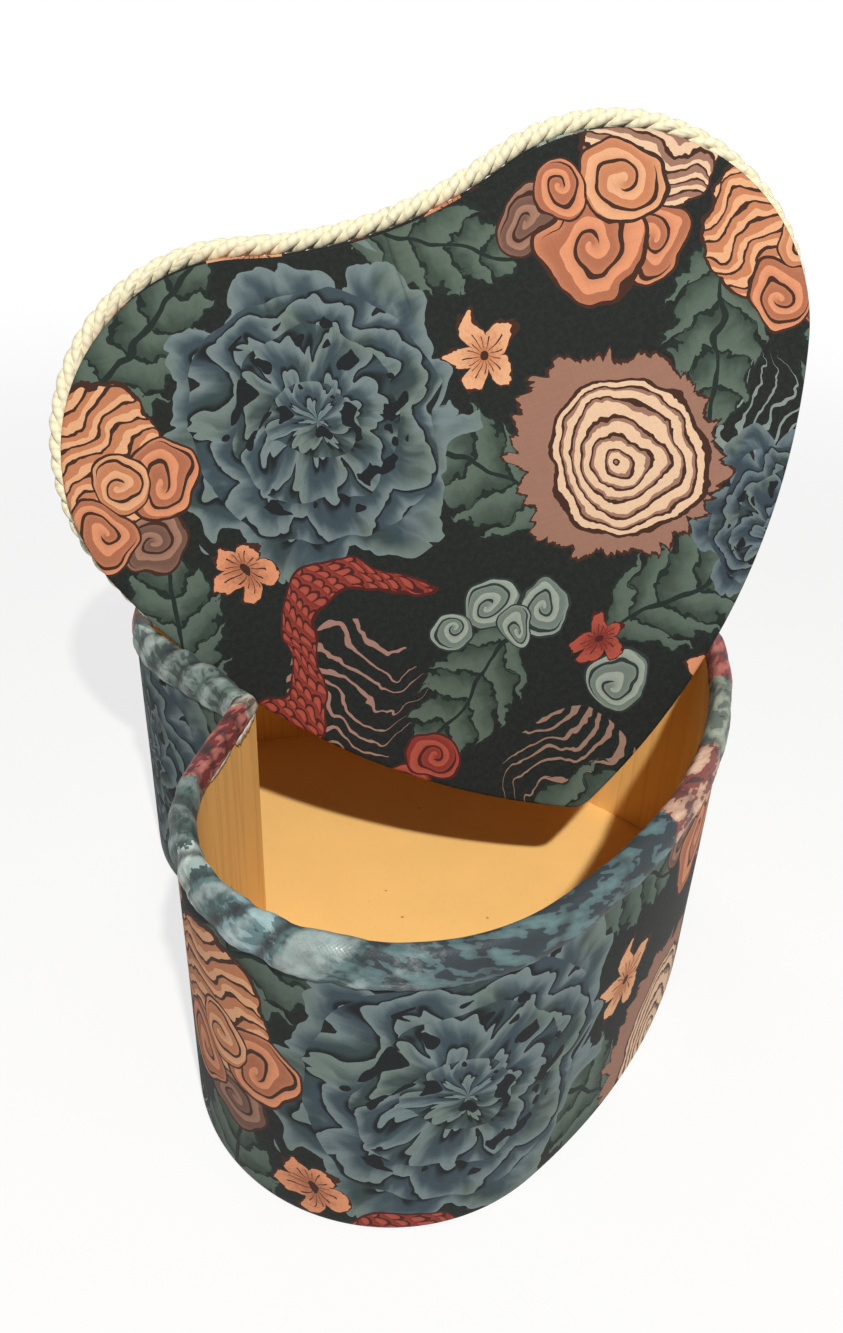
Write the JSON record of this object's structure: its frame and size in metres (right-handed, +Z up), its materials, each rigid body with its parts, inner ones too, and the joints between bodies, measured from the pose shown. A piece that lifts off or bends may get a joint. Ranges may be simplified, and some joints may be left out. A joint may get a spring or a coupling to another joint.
{
  "type": "heart-shaped keepsake box",
  "caption": "Heart-shaped card keepsake box covered in figured brocade cloth, with a loose padded lid trimmed in twisted cord, stood tip down in the open box.",
  "frame": {"origin": "underside of the box, midway between the centres of the two lobes", "axes": "+Z up out of the open box, +Y towards the heart's cleft, -Y towards its tip"},
  "size_m": [0.1518, 0.1577, 0.1645],
  "materials": {
    "side_cloth": "printed cotton, dark ground with cloud scrolls and flowers, matte",
    "base_cloth": "plain dark cotton, matte",
    "rim_cloth": "printed cotton rolled over the rim in small puffs, matte",
    "lining_cloth": "printed cotton, dark ground with large flowers, scrolls and waves, matte",
    "top_cloth": "printed cotton over wadding, matte",
    "grey_card": "pulp card, unfinished",
    "floor_card": "straw card, unfinished",
    "liner_card": "straw card, unfinished",
    "wadding": "thin polyester wadding",
    "cord": "cream twisted cord, slight sheen"
  },
  "bodies": {
    "box": {"base_cloth": "base_cloth", "base_board": "grey_card", "floor_card": "floor_card", "wall_card": "grey_card", "liner_card": "liner_card", "side_cloth": "side_cloth", "rim_roll": "rim_cloth"},
    "lid": {"lining_cloth": "lining_cloth", "lining_card": "grey_card", "lid_card": "grey_card", "wadding": "wadding", "top_cloth": "top_cloth", "cord": "cord"}
  },
  "joints": [
    {"name": "lid_lift", "type": "slide", "parent": "box", "child": "lid", "axis": [0.4814, 0.2224, 0.8478], "range_m": [0, 0.06]}
  ]
}
